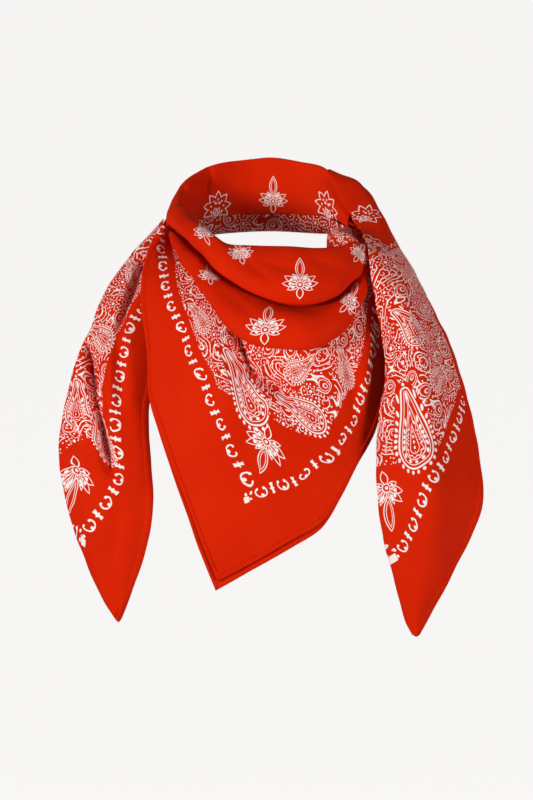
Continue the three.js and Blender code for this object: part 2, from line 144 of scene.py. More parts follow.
# Columns of both ends: fold, front, hem
END_RIGHT = [
    ((43, 54.5, 66), (47, 55.5, 70), (74, 28, 74)),
    ((54, 38, 44), (68, 46.5, 50), (89, 13, 57)),
    ((60, 27, 28), (78, 34, 29), (100, -4, 40)),
    ((66, 16, 7), (86, 18, 9), (109, -18, 27)),
    ((73, 5, -20), (96, -2, -11), (118, -34, 12)),
    ((77, -9, -49), (103, -19, -36), (126, -52, -6)),
    ((78.5, -24, -64), (106, -40, -61), (134, -69, -24)),
    ((83, -52, -74), (111, -66, -81), (142, -86, -40)),
    ((88, -82, -84), (117, -94, -95), (149, -108, -52)),
    ((90, -109, -90), (121, -120, -104), (155.5, -132, -62)),
    ((85.5, -136, -95), (123, -144, -109), (160.5, -154, -70)),
    ((83, -166, -99), (124, -172, -111), (164.5, -178, -77)),
    ((83.5, -198, -101), (125, -201, -110), (166, -203, -83)),
    ((88, -232, -102), (123, -232, -109), (156.5, -233, -88)),
    ((97, -266, -101), (118, -266, -106), (139.5, -266, -93)),
    ((105, -296, -98), (114.5, -296, -101), (124, -296, -94)),
    ((111, -309, -96), (113.8, -310.3, -97), (117, -308.5, -95)),
]
END_LEFT = [
    ((-83.5, 17, 10), (-85, 8, 7), (-82, -3, 5)),
    ((-98, 0, 3), (-92, -9, -5), (-84, -22, -8)),
    ((-110, -13, -4), (-100, -25, -16), (-85, -42, -23)),
    ((-122, -29, -12), (-107, -41, -27), (-86, -62, -36)),
    ((-132, -48, -22), (-113, -61, -39), (-88, -82, -46)),
    ((-141, -72, -33), (-118, -84, -51), (-90, -102, -54)),
    ((-149, -91, -41), (-122, -102, -59), (-92, -118, -59)),
    ((-156, -112, -48), (-126, -120, -66), (-94.5, -132, -63)),
    ((-161, -136, -55), (-128, -142, -72), (-94.5, -150, -67)),
    ((-164, -170, -63), (-128, -173, -78), (-92.5, -178, -71)),
    ((-161, -196, -68), (-126, -200, -81), (-91, -204, -74)),
    ((-154, -224, -72), (-124, -226, -83), (-93.5, -228, -77)),
    ((-145, -248, -76), (-122, -249, -84), (-99, -250, -79)),
    ((-134, -273, -79), (-120, -274, -84), (-107, -274, -81)),
    ((-124, -291, -81), (-118.5, -292, -83), (-113.5, -292, -81.5)),
    ((-120, -298, -81.5), (-118, -299.3, -82), (-115.8, -297.5, -81.5)),
]

# Creases as seen lines: from and to as (x, h), depth away from the front, half width
CREASES = {
    "panel": [
        ((-26, -74), (-13, -111), 16.0, 6),
        ((-16, -104), (18, -124), 15.0, 6),
        ((-6, -84), (22, -136), 8.0, 15),
        ((-42, -84), (-26, -144), -6.5, 10),
        ((-60, -40), (-74, -150), 1.8, 9),
        ((-20, -140), (-44, -236), -1.6, 16),
        ((30, -150), (4, -226), 1.4, 14),
        ((60, -84), (72, -160), 3.5, 9),
        ((84, -60), (60, -190), -1.5, 8),
    ],
    "end_left": [
        ((-99, -20), (-122, -82), 14.0, 5),
        ((-118, -70), (-116, -150), 4.0, 7),
        ((-141, -84), (-133, -142), 19.0, 6),
        ((-134, -132), (-121, -194), 18.0, 6),
        ((-126, -80), (-122, -140), -4.0, 7),
        ((-150, -110), (-146, -200), -3.0, 8),
        ((-150, -190), (-138, -240), -1.6, 12),
        ((-118, -210), (-126, -268), 1.8, 9),
    ],
    "end_right": [
        ((78, -16), (98, -112), 4.0, 8),
        ((136, -96), (148, -226), 2.2, 11),
        ((98, -10), (124, -110), -3.0, 8),
        ((112, -30), (140, -104), 3.0, 6),
        ((94, -180), (106, -270), 2.0, 8),
        ((120, -150), (128, -260), -1.5, 12),
    ],
    "loop": [
        ((-70, 44), (-55, 14), 4.5, 5),
        ((-48, 55), (-55, 18), 5.0, 5),
        ((-66, 26), (-40, -8), 1.8, 4),
        ((36, -16), (64, -26), 1.6, 6),
        ((-30, -8), (10, -40), 1.8, 5),
        ((-6, -18), (44, -30), 1.2, 5),
    ],
    "cowl_lower": [
        ((-56, -24), (2, -72), 1.8, 6),
        ((20, -58), (64, -56), 1.8, 6),
    ],
}
# Slight waves: how many are added up, their lengths, their heights, and a seed for each sheet
WAVES = 7
WAVE_LENGTHS = (22, 60)
WAVE_HEIGHT = 0.55
LOW_WAVES = 0.4
SEEDS = {"panel": 3, "end": 5, "loop": 11, "cowl_lower": 12, "gather": 13}


def place(point):
    """A table's point in millimetres, true height."""
    x, h, y = point
    return np.array([x, y, h - y * VIEW_SLOPE])


def smooth_line(points, count):
    """count points along a smooth curve through points, the same share of them to each stretch."""
    p = np.asarray(points, float)
    p = np.vstack([2 * p[0] - p[1], p, 2 * p[-1] - p[-2]])
    stretches = len(p) - 3
    t = np.linspace(0, stretches, count)
    k = np.minimum(t.astype(int), stretches - 1)
    f = (t - k)[:, None]
    p0, p1, p2, p3 = p[k], p[k + 1], p[k + 2], p[k + 3]

    def knot(a, b):
        return np.maximum(np.linalg.norm(b - a, axis=1) ** 0.5, 1e-4)[:, None]

    d0, d1, d2 = knot(p0, p1), knot(p1, p2), knot(p2, p3)
    m1 = ((p1 - p0) / d0 - (p2 - p0) / (d0 + d1) + (p2 - p1) / d1) * d1
    m2 = ((p2 - p1) / d1 - (p3 - p1) / (d1 + d2) + (p3 - p2) / d2) * d1
    return (
        (2 * f**3 - 3 * f**2 + 1) * p1
        + (f**3 - 2 * f**2 + f) * m1
        + (3 * f**2 - 2 * f**3) * p2
        + (f**3 - f**2) * m2
    )


def grid(columns, along, across, corner=None):
    """A sheet through columns, which are lines of points. The last one breaks sharply at the corner row."""
    lines = []
    for k, line in enumerate(columns):
        if corner is not None and k == len(columns) - 1:
            before = round((along - 1) * corner / (len(line) - 1))
            first = smooth_line(line[: corner + 1], before + 1)
            rest = smooth_line(line[corner:], along - before)
            lines.append(np.vstack([first, rest[1:]]))
        else:
            lines.append(smooth_line(line, along))
    lines = np.stack(lines, axis=1)
    return np.stack([smooth_line(row, across) for row in lines])


def unit(v):
    return v / np.maximum(np.linalg.norm(v, axis=-1), 1e-9)[..., None]


def normals(g):
    return unit(np.cross(np.gradient(g, axis=0), np.gradient(g, axis=1)))


def arc_length(line):
    """Distance along a line of points, at each point."""
    return np.concatenate([[0], np.cumsum(np.linalg.norm(np.diff(line, axis=0), axis=1))])


def pressed(g, creases):
    """Moves points near each crease's seen line back, most at the line. A crease ends softly."""
    seen = seen_of(g)
    for start, end, depth, half_width in creases:
        a = np.array(start, float)
        run = np.array(end, float) - a
        length = np.linalg.norm(run)
        run /= length
        rel = seen - a
        t = np.clip((rel @ run) / length, 0, 1)
        off = np.linalg.norm(rel - t[..., None] * run * length, axis=-1) / half_width
        strength = np.sin(np.pi * np.minimum(t + 0.12, 1)) ** 0.7
        g[..., 1] += depth * strength * np.exp(-2 * off * off)
    return g


def rippled(g, seed, height=WAVE_HEIGHT):
    """Slight waves over the whole sheet, as in cloth that has been folded and ironed."""
    rng = np.random.default_rng(seed)
    lift = np.zeros(g.shape[:2])
    for _ in range(WAVES):
        way = rng.normal(size=3)
        way /= np.linalg.norm(way)
        lift += np.sin(g @ way * (2 * math.pi / rng.uniform(*WAVE_LENGTHS)) + rng.uniform(0, 6.28))
    return g + normals(g) * (lift * height / math.sqrt(WAVES))[..., None]


def with_hidden(columns, offset, ends=0.0):
    """One more column, further in than the first, so that no seam is open. It runs out at both ends."""
    count = columns.shape[1]
    share = np.clip(np.minimum(np.arange(count), count - 1 - np.arange(count)) / 2, ends, 1)
    return np.concatenate([(columns[0] + share[:, None] * np.array(offset, float))[None], columns])


def round_loop(angle, extra, z):
    turn = math.radians(angle)
    return (
        (BAND_HALF_WIDTH + extra) * math.cos(turn),
        (BAND_HALF_DEPTH + extra) * math.sin(turn),
        z,
    )


def loop_columns():
    """The band's sections and the upper roll's, as one run of cloth."""
    rows = []
    for values in NECK_BAND:
        row = dict(zip(BAND_COLUMNS, values))
        angle, rim, inside, low = row["angle"], row["rim"], row["inside"], row["low"]
        rows.append([
            round_loop(angle, inside * 0.85 - 1, row["crease"]),
            round_loop(angle, inside - 1, (row["crease"] + rim) / 2),
            round_loop(angle, row["set_in"], rim + row["shoulder"]),
            round_loop(angle, 0, rim),
            round_loop(angle, row["outside"], (low + rim) / 2),
            round_loop(angle, row["outside"], low),
        ])
    rows += [[place(p) for p in row] for row in COWL_UPPER]
    return np.array(rows, float).transpose(1, 0, 2)


def wrap_columns():
    rows = []
    for values in NECK_WRAP:
        row = dict(zip(WRAP_COLUMNS, values))
        angle, inner, outer, bottom = row["angle"], row["inner"], row["outer"], row["bottom"]
        rows.append([
            round_loop(angle, inner, row["top_in"]),
            round_loop(angle, inner, bottom + 3),
            round_loop(angle, (inner + outer) / 2, bottom),
            round_loop(angle, outer, bottom + 4),
            round_loop(angle, outer, row["top_out"]),
        ])
    return np.array(rows, float).transpose(1, 0, 2)


def table_columns(table):
    return np.array([[place(p) for p in row] for row in table], float).transpose(1, 0, 2)


def panel_grid(along, across):
    top, hem = table_columns(FRONT_PANEL)

    def between(share):
        p = top + (hem - top) * share
        p[:, 1] -= PANEL_BELLY * math.sin(math.pi * share)
        return p

    columns = np.stack([top, between(0.3), between(0.65), hem])
    g = grid(with_hidden(columns, (0, 4, 8)), along, across, PANEL_CORNER)
    return rippled(pressed(g, CREASES["panel"]), SEEDS["panel"], LOW_WAVES)


def under_grid(along, across):
    """The panel moved back along its normals, with a hem that reaches further."""
    g = panel_grid(along, across)
    n = normals(g)
    outward = unit(g[:, -1] - g[:, -3])
    rows = np.linspace(0, len(UNDER_REACH) - 1, along)
    reach = np.interp(rows, range(len(UNDER_REACH)), UNDER_REACH)
    share = np.linspace(0, 1, across) ** 2
    g = g + n * UNDER_SET_BACK + outward[:, None] * (reach[:, None] * share)[..., None]
    trim = round(along * UNDER_TRIM)
    return g[trim:-trim]


def end_grid(table, creases, along, across):
    """The upper layer from hem to fold, round the fold, and the under layer back to its hem."""
    fold, front, hem = table_columns(table)
    left = len(table) - 1 - np.arange(len(table))
    narrow = np.minimum(1, left / 3 + 0.25)[:, None]
    gap = FOLD_GAP * narrow
    back = gap * np.array([0, 1, -0.2])
    forward = narrow * np.array([0, -1, 0])

    def mix(a, b, share):
        return a + (b - a) * share

    columns = [
        hem,
        mix(hem, front, 0.5) + 2 * forward,
        front,
        mix(fold, front, 0.3) + 1.5 * forward,
        fold + 0.5 * back,
        mix(fold, front, 0.3) + back,
        front + 1.6 * back,
        mix(hem, fold, 0.06) + back,
    ]
    return rippled(pressed(grid(columns, along, across), creases), SEEDS["end"])


def soft_rows(values, count):
    """Even steps through values, smoothly."""
    v = np.concatenate([2 * values[:1] - values[1:2], values, 2 * values[-1:] - values[-2:-1]])
    t = np.linspace(0, len(values) - 1, count)
    k = np.minimum(t.astype(int), len(values) - 2)
    f = (t - k).reshape(-1, *[1] * (values.ndim - 1))
    a, b, c, d = v[k], v[k + 1], v[k + 2], v[k + 3]
    return b + 0.5 * f * (c - a + f * (2 * a - 5 * b + 4 * c - d + f * (3 * (b - c) + d - a)))


def seen_of(g):
    return np.stack([g[..., 0], g[..., 2] + g[..., 1] * VIEW_SLOPE], axis=-1)


# Added to the distance of a place that isn't looked at
NOT_SEEN = 500


def find_seen(g, x, h, back=False, upto=1.0):
    """Grid indices of the nearest place seen at (x, h), on the front or the back of the loop. upto is the
    share of the columns that is looked at."""
    far = np.linalg.norm(seen_of(g) - (x, h), axis=-1) + g[..., 1] * 0.2
    far[:, round(g.shape[1] * upto):] += NOT_SEEN
    if back:
        far = far + np.where(g[..., 1] > 0, 0, NOT_SEEN)
    return np.unravel_index(far.argmin(), far.shape)


# Solver steps of the first round, and of each later one
FIRST_STEPS = 2500
LATER_STEPS = 120


def spread_flat(g, rules, coarse, guess=None, rounds=40):
    """Lays a grid out flat, in mm, keeping its lengths as far as its rules allow. A rule is
    (i share, j share, direction, value, strength): the flat place's dot product with direction is value."""
    ni, nj = coarse
    ui = np.linspace(0, g.shape[0] - 1, ni).round().astype(int)
    uj = np.linspace(0, g.shape[1] - 1, nj).round().astype(int)
    c = g[np.ix_(ui, uj)]
    index = np.arange(ni * nj).reshape(ni, nj)
    pairs = np.vstack([
        np.stack([index[:-1].ravel(), index[1:].ravel()], 1),
        np.stack([index[:, :-1].ravel(), index[:, 1:].ravel()], 1),
        np.stack([index[:-1, :-1].ravel(), index[1:, 1:].ravel()], 1),
        np.stack([index[1:, :-1].ravel(), index[:-1, 1:].ravel()], 1),
    ])
    p = c.reshape(-1, 3)
    n = normals(c).reshape(-1, 3)
    side = unit(np.cross(n, (1e-6, 1e-6, 1.0)))
    up = np.cross(side, n)
    e = p[pairs[:, 1]] - p[pairs[:, 0]]
    length = np.linalg.norm(e, axis=1)
    mean_side = side[pairs[:, 0]] + side[pairs[:, 1]]
    mean_up = up[pairs[:, 0]] + up[pairs[:, 1]]
    want = (e * mean_side).sum(1) + 1j * (e * mean_up).sum(1)
    want *= length / np.maximum(abs(want), 1e-9)
    size = ni * nj
    first, second = pairs.T
    weight = 1.0 / np.maximum(length, 0.5) ** 2
    corners, shares, ways, values, strengths = [], [], [], [], []
    for i, j, direction, value, strength in rules:
        fi, fj = i * (ni - 1), j * (nj - 1)
        i0, j0 = min(int(fi), ni - 2), min(int(fj), nj - 2)
        fi, fj = fi - i0, fj - j0
        corners.append([index[i0, j0], index[i0 + 1, j0], index[i0, j0 + 1], index[i0 + 1, j0 + 1]])
        shares.append([(1 - fi) * (1 - fj), fi * (1 - fj), (1 - fi) * fj, fi * fj])
        ways.append(direction)
        values.append(value)
        strengths.append(strength**2)
    corners, shares, ways = np.array(corners), np.array(shares), np.array(ways, float)
    values, strengths = np.array(values, float), np.array(strengths, float)

    def gather(where, amounts):
        return np.stack([np.bincount(where, amounts[:, k], size) for k in (0, 1)], 1)

    def spread_rule(amount):
        pulls = (amount * strengths)[:, None, None] * shares[..., None] * ways[:, None]
        return gather(corners.ravel(), pulls.reshape(-1, 2))

    def apply(v):
        d = (v[second] - v[first]) * weight[:, None]
        met = ((v[corners] * ways[:, None]).sum(2) * shares).sum(1)
        return gather(second, d) - gather(first, d) + spread_rule(met)

    def turned(v):
        """The wanted steps, each turned as the cloth about it lies in v."""
        d = v[second] - v[first]
        product = (d[:, 0] + 1j * d[:, 1]) * np.conj(want) * weight
        spin = np.zeros(size, complex)
        np.add.at(spin, first, product)
        np.add.at(spin, second, product)
        spin /= np.maximum(abs(spin), 1e-9)
        both = spin[first] + spin[second]
        return want * both / np.maximum(abs(both), 1e-9)

    flat = np.stack([p[:, 0], p[:, 2]], 1)
    target = want
    if guess is not None:
        flat = guess[np.ix_(ui, uj)].reshape(-1, 2)
        target = turned(flat)
    for turn in range(rounds):
        d = np.stack([target.real, target.imag], 1) * weight[:, None]
        residual = gather(second, d) - gather(first, d) + spread_rule(values) - apply(flat)
        run = residual.copy()
        power = (residual * residual).sum()
        for _ in range(LATER_STEPS if turn else FIRST_STEPS):
            pushed = apply(run)
            step = power / max((run * pushed).sum(), 1e-12)
            flat = flat + step * run
            residual -= step * pushed
            fresh = (residual * residual).sum()
            if fresh < 1e-9:
                break
            run = residual + run * (fresh / power)
            power = fresh
        target = turned(flat)
    flat = flat.reshape(ni, nj, 2)
    return soft_rows(soft_rows(flat, g.shape[0]).transpose(1, 0, 2), g.shape[1]).transpose(1, 0, 2)


# Where the print lies, as seen, (x, h) in mm: the border chain's arm along flat x, then its arm along
# flat y, then places whose flat x and y are both known
PRINT_SEEN = {
    "panel": (
        [(-17, -193), (-25, -176), (-38, -143), (-51, -108), (-67, -72), (-80, -41), (-85, -9), (-84, 12)],
        [(-5, -197.5), (10, -192), (35, -176), (62, -148), (76, -110), (83, -76), (81, -58)],
        [((-16, -200), (45, 45)), ((18, -188), (81, 45)), ((50, -168), (117, 45)), ((65, -142), (148, 45)),
         ((76, -110), (183, 45)), ((83, -78), (217, 45))],
    ),
    "end_left": (
        [],
        [(-143, -226), (-131, -212), (-122, -196), (-118, -185), (-120, -167), (-121, -149),
         (-120, -132), (-118, -105), (-114, -86), (-110, -69)],
        [((-147, -232), (45, 45)), ((-152, -184), (72, 72))],
    ),
    "end_right": (
        [],
        [(101, -241), (111, -225), (125, -190), (135, -174), (141, -156), (147, -140), (151, -124)],
        [((96.7, -245), (45, 45)), ((90.5, -198), (72, 72)), ((76, 19), (240, 245)), ((62, 39), (265, 265)),
         ((86, -4), (203, 215))],
    ),
}


def print_rules(g, name, upto=1.0, strength=2.5):
    rules = []
    *arms, spots = PRINT_SEEN[name]
    places = [(p, direction, CHAIN_AT) for arm, direction in zip(arms, ((1, 0), (0, 1))) for p in arm]
    places += [(p, way, v) for p, flat in spots for way, v in zip(((1, 0), (0, 1)), flat)]
    for (x, h), direction, value in places:
        i, j = find_seen(g, x, h, upto=upto)
        rules.append((i / (g.shape[0] - 1), j / (g.shape[1] - 1), direction, value, strength))
    return rules


def hem_rules(first, last, count, j, direction, strength):
    """Column j lies on the flat hem, from the share first of its length to the share last."""
    return [(share, j, direction, 0, strength) for share in np.linspace(first, last, count)]


def arc_layout(g, middle, start_along, start_across):
    """Flat places by arc length: along the grid on its middle line, and across it from column middle."""
    along = arc_length(g[:, middle])
    steps = np.linalg.norm(np.diff(g, axis=1), axis=2)
    across = np.concatenate([np.zeros((len(g), 1)), np.cumsum(steps, axis=1)], axis=1)
    across -= across[:, middle][:, None]
    return np.stack([np.repeat(along[:, None] + start_along, g.shape[1], 1), across + start_across], -1)


# Motifs that stand by themselves. Places are as seen, (x, h) in mm. turn is the way the motif points,
# in degrees from straight up, to the left. size is its scale: 1 is a drawing 40 mm long. Those marked
# BACK are on the inside of the band, at the back of the neck.
LOTUS, PAISLEY, STAR, BACK = "lotus", "paisley", "star", "back"
MOTIFS = {
    "loop": [
        (LOTUS, 2.3, 34, 0, 0.82, BACK),
        (STAR, -41, 26, -8, 0.80, BACK),
        (STAR, 45, 26, 8, 0.80, BACK),
        (LOTUS, 24, -31, 0, 0.98),
        (LOTUS, -24, -10, 15, 0.80),
        (LOTUS, -53, 8, 20, 0.72),
        (LOTUS, 70, -10, -30, 0.75),
    ],
    "cowl_lower": [
        (LOTUS, -3, -66, -10, 1.05),
        (LOTUS, 63, -46, -28, 0.95),
        (LOTUS, -47, -27, 10, 0.75),
    ],
    "panel": [
        (PAISLEY, -24, -113, 20, 1.4),
        (PAISLEY, 21, -134, 50, 1.02),
        (PAISLEY, 57, -98, 12, 0.7),
        (PAISLEY, 24, -98, -60, 0.75),
        (PAISLEY, -56, -60, 30, 0.75),
        (LOTUS, -3, -162, 170, 1.05),
    ],
    "end_left": [
        (PAISLEY, -152, -126, -6, 0.95),
        (PAISLEY, -130, -152, 12, 0.8),
        (PAISLEY, -134, -76, 40, 0.85),
        (PAISLEY, -108, -24, 30, 0.7),
        (LOTUS, -151, -186, 176, 1.05),
    ],
    "end_right": [
        (PAISLEY, 108, -146, 6, 1.5),
        (PAISLEY, 106, -66, 40, 0.95),
        (PAISLEY, 132, -104, -30, 0.8),
        (LOTUS, 92, -200, 186, 1.05),
        (STAR, 76, 19, -30, 0.85),
    ],
}
# A motif's own coordinates reach this far from its middle, and lie at FAR elsewhere
REACH = 54.4
FAR = 90.0


def motif_layers(g, flat, motifs, upto):
    """For each kind of motif, local coordinates for the corners of each face, from its nearest motif."""
    seen = seen_of(g)
    ni, nj = g.shape[:2]
    centre_flat = (flat[:-1, :-1] + flat[1:, 1:]) / 2
    layers = {}
    for kind in (LOTUS, PAISLEY, STAR):
        local = np.full((ni - 1, nj - 1, 4, 2), FAR)
        best = np.full((ni - 1, nj - 1), 1e9)
        for name, x, h, turn, size, *marks in motifs:
            if name != kind:
                continue
            back = BACK in marks
            i, j = find_seen(g, x, h, back, 0.5 if back else upto)
            i, j = min(max(i, 1), ni - 2), min(max(j, 1), nj - 2)
            d_seen = np.stack([seen[i + 1, j] - seen[i - 1, j], seen[i, j + 1] - seen[i, j - 1]], 1)
            d_flat = np.stack([flat[i + 1, j] - flat[i - 1, j], flat[i, j + 1] - flat[i, j - 1]], 1)
            up = np.array([-math.sin(math.radians(turn)), math.cos(math.radians(turn))])
            up_flat = d_flat @ np.linalg.pinv(d_seen) @ up
            up_flat /= max(np.linalg.norm(up_flat), 1e-9)
            flip = np.sign(np.linalg.det(d_flat @ np.linalg.pinv(d_seen)))
            right_flat = np.array([up_flat[1], -up_flat[0]]) * flip
            away = np.linalg.norm(centre_flat - flat[i, j], axis=-1)
            mine = (away < best) & (away < REACH * size)
            best = np.where(mine, away, best)
            for k, (di, dj) in enumerate(((0, 0), (1, 0), (1, 1), (0, 1))):
                corner = flat[di: ni - 1 + di, dj: nj - 1 + dj] - flat[i, j]
                value = np.stack([corner @ right_flat, corner @ up_flat], -1) / size
                local[:, :, k] = np.where(mine[..., None], value, local[:, :, k])
        layers[kind] = local
    return layers


def new_object(name, data):
    made = bpy.data.objects.new(name, data)
    bpy.context.collection.objects.link(made)
    return made


def new_piece(name, points, faces, material):
    """A smooth piece of the cloth, which rides with the root. Its points are in millimetres."""
    mesh = bpy.data.meshes.new(name)
    mesh.from_pydata((np.array(points, float) * MM).tolist(), [], faces)
    mesh.polygons.foreach_set("use_smooth", [True] * len(faces))
    mesh.materials.append(material)
    piece = new_object(name, mesh)
    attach(piece, "root")
    return piece


def cloth_shell(name, g, flat, material, motifs, upto):
    """A thin shell on grid g, with its flat layout as UVs in metres and its motifs' own coordinates."""
    ni, nj = g.shape[:2]
    index = np.arange(ni * nj).reshape(ni, nj)
    faces = np.stack([index[:-1, :-1], index[1:, :-1], index[1:, 1:], index[:-1, 1:]], -1).reshape(-1, 4)
    piece = new_piece(name, g.reshape(-1, 3), faces.tolist(), material)
    layers = {"flat": flat.reshape(-1, 2)[faces], **motif_layers(g, flat, motifs, upto)}
    for layer, places in layers.items():
        uv = piece.data.uv_layers.new(name=layer)
        uv.data.foreach_set("uv", (places.reshape(-1) * MM).astype(np.float32))
    shell = piece.modifiers.new("thickness", "SOLIDIFY")
    shell.thickness = CLOTH_THICKNESS * MM
    shell.offset = 0
    return piece


class Value:
    """A number in a material's node tree, so that a pattern can be written as a formula."""

    tree = None

    def __init__(self, socket):
        self.socket = socket

    @staticmethod
    def math(operation, *inputs, clamp=False):
        node = add_node("Math")
        node.operation = operation
        node.use_clamp = clamp
        for slot, value in zip(node.inputs, inputs):
            if isinstance(value, Value):
                link(value.socket, slot)
            else:
                slot.default_value = value
        return Value(node.outputs[0])

    def __add__(self, other):
        return Value.math("ADD", self, other)

    def __sub__(self, other):
        return Value.math("SUBTRACT", self, other)

    def __rsub__(self, other):
        return Value.math("SUBTRACT", other, self)

    def __mul__(self, other):
        return Value.math("MULTIPLY", self, other)

    def __truediv__(self, other):
        return Value.math("DIVIDE", self, other)

    __radd__ = __add__
    __rmul__ = __mul__


def add_node(kind, **inputs):
    """A node in the tree that is being written, with values for its inputs."""
    node = Value.tree.nodes.new("ShaderNode" + kind)
    for name, value in inputs.items():
        node.inputs[name].default_value = value
    return node


def link(start, end):
    Value.tree.links.new(start, end)


def absolute(a):
    return Value.math("ABSOLUTE", a)


def smaller(a, b):
    return Value.math("MINIMUM", a, b)


def larger(first, *others):
    for other in others:
        first = Value.math("MAXIMUM", first, other)
    return first


def root(a):
    return Value.math("SQRT", a)


def sine(a):
    return Value.math("SINE", a)


def angle_of(y, x):
    return Value.math("ARCTAN2", y, x)


def repeat(a, period):
    """a folded to -period/2 .. period/2."""
    return Value.math("FLOORED_MODULO", a + period / 2, period) - period / 2


def away(x, y):
    return root(x * x + y * y)


def above(a, edge, soft):
    """1 where a is over edge, 0 where it is under, soft mm between."""
    return Value.math("MULTIPLY_ADD", a - edge, 1.0 / soft, 0.5, clamp=True)


# How softly a drawn edge ends. The drawings' numbers are millimetres.
EDGE = 0.28


def inked(distance, half_width):
    """1 within half_width of distance 0."""
    return above(half_width - absolute(distance), 0, EDGE)


def filled(distance):
    """1 where the distance is below 0."""
    return above(0 - distance, 0, EDGE)


def uv_mm(layer):
    node = add_node("UVMap")
    node.uv_map = layer
    split = add_node("SeparateXYZ")
    link(node.outputs[0], split.inputs[0])
    return Value(split.outputs[0]) * 1000, Value(split.outputs[1]) * 1000


def vector_of(x, y):
    node = add_node("CombineXYZ")
    link(x.socket, node.inputs[0])
    link(y.socket, node.inputs[1])
    return node.outputs[0]


def cell_pattern(x, y, cell, shift):
    """Random cells of about this size: place in the cell, in mm, and a random number for it."""
    node = add_node("TexVoronoi", Scale=1.0, Randomness=0.62)
    node.voronoi_dimensions = "2D"
    vx = x / cell + shift
    vy = y / cell + shift
    link(vector_of(vx, vy), node.inputs["Vector"])
    spot = add_node("SeparateXYZ")
    link(node.outputs["Position"], spot.inputs[0])
    colour = add_node("SeparateColor")
    link(node.outputs["Color"], colour.inputs[0])
    lx = (vx - Value(spot.outputs[0])) * cell
    ly = (vy - Value(spot.outputs[1])) * cell
    return lx, ly, Value(colour.outputs[0])


def noise_at(vector, scale=1.0, detail=0.0, dimensions="2D"):
    node = add_node("TexNoise", Scale=scale, Detail=detail)
    node.noise_dimensions = dimensions
    link(vector, node.inputs["Vector"])
    return Value(node.outputs[0])


def noise_of(x, y, size, shift):
    return noise_at(vector_of(x / size + shift, y / size + shift))


def drop_distance(x, y, round_radius, length, tip_radius):
    """Signed distance to a drop: a disc at the origin and a small one length above, joined."""
    slope = (round_radius - tip_radius) / length
    along = math.sqrt(1 - slope * slope)
    x = absolute(x)
    straight = x * along + y * slope - round_radius
    low = away(x, y) - round_radius
    high = away(x, y - length) - tip_radius
    k = y * along - x * slope
    is_low = above(0 - k, 0, 0.02)
    is_high = above(k, along * length, 0.02)
    middle = straight * (1 - is_low) * (1 - is_high)
    return middle + low * is_low + high * is_high


def paisley_ink(x, y):
    """A curled drop, 40 mm long, with nested outlines, a row of links inside and beads outside."""
    lift = larger(y, 0)
    x = x + lift * lift * 0.010 - 2.0
    y = y + 11
    d = drop_distance(x, y, 9.8, 27, 2.8)
    turn = angle_of(x, y - 4)
    out = away(x, y - 4)
    beads = repeat(turn, 2 * math.pi / 26) * out
    links = absolute(repeat(turn, 2 * math.pi / 16)) * out
    seeds = absolute(repeat(y, 2.6))
    ink = larger(
        filled(away(beads, d - 1.8) - 0.85),
        inked(d, 0.42),
        inked(d + 1.7, 0.20),
        filled(away(links * 0.75, d + 2.9) - 0.72),
        inked(d + 4.1, 0.20),
        inked(d + 5.3 + 0.45 * sine(turn * 15), 0.24),
        inked(d + 7.0, 0.18),
        filled(away(x * 1.4, seeds) - 0.75) * filled(d + 7.6),
    )
    return ink, d


def petal(x, y, turn, reach, half_width):
    """Signed distance, about, to a pointed petal that starts at the origin."""
    c, s = math.cos(turn), math.sin(turn)
    u = x * s + y * c
    v = absolute(x * c - y * s)
    belly = smaller(larger(u / reach, 0), 1)
    width = belly * (1 - belly) * (4 * half_width)
    outside = larger(0 - u, u - reach)
    return larger(v - width, outside)


def lotus_ink(x, y):
    """A lotus: a fan of petals either side, a pointed leaf above and a bud below, with dots."""
    x = absolute(x)
    parts = []
    for degrees, reach, width in ((58, 14.5, 2.6), (84, 14, 2.6), (112, 10.5, 2.2), (32, 11, 2.0)):
        turn = math.radians(degrees)
        dot_x, dot_y = math.sin(turn) * reach * 0.55, math.cos(turn) * reach * 0.55
        parts.append(inked(petal(x, y + 4, turn, reach, width) + 0.25, 0.32))
        parts.append(filled(away(x - dot_x, y + 4 - dot_y) - 1.15))
    leaf = petal(x, y - 1, 0, 19, 3.4)
    bud = petal(x, y + 6, math.pi, 9, 2.4)
    ring = away(x, y + 4)
    ink = larger(*parts, inked(leaf, 0.32), inked(leaf + 1.5, 0.2), inked(bud, 0.4)) * above(ring, 2.9, 0.2)
    return larger(ink, inked(ring - 2.6, 0.3), filled(ring - 1.1), filled(away(x - 4.2, y - 2.5) - 1.0))


def star_ink(x, y):
    """A leaf drawn as a star of nine rays in one line, open below, with a twig inside."""
    r = away(x, y)
    ray = repeat(angle_of(x, y), 2 * math.pi / 9)
    spike = absolute(ray) * (9 / math.pi)
    side = absolute(x)
    return larger(
        inked((r - (15.5 - 5.5 * spike)) * 0.75, 0.55) * above(y, -9, 1),
        filled(away(ray * r, r - 7.6) - 0.9) * above(y, -5, 1),
        inked(petal(side, y + 10, math.radians(18), 10, 1.8), 0.4),
        inked(petal(side, y + 10, math.radians(48), 8, 1.8), 0.4),
        filled(away(side - 2.2, y - 4) - 1.3),
        inked(petal(x, y + 14, 0, 13, 1.8), 0.4),
    )


# The print's measures from the hem, in mm: the chain's repeat, and the dense border
CHAIN_STEP = 18.7
BAND_FROM = 56.0
BAND_TO = 205.0
CORNER_CUT = 172.0


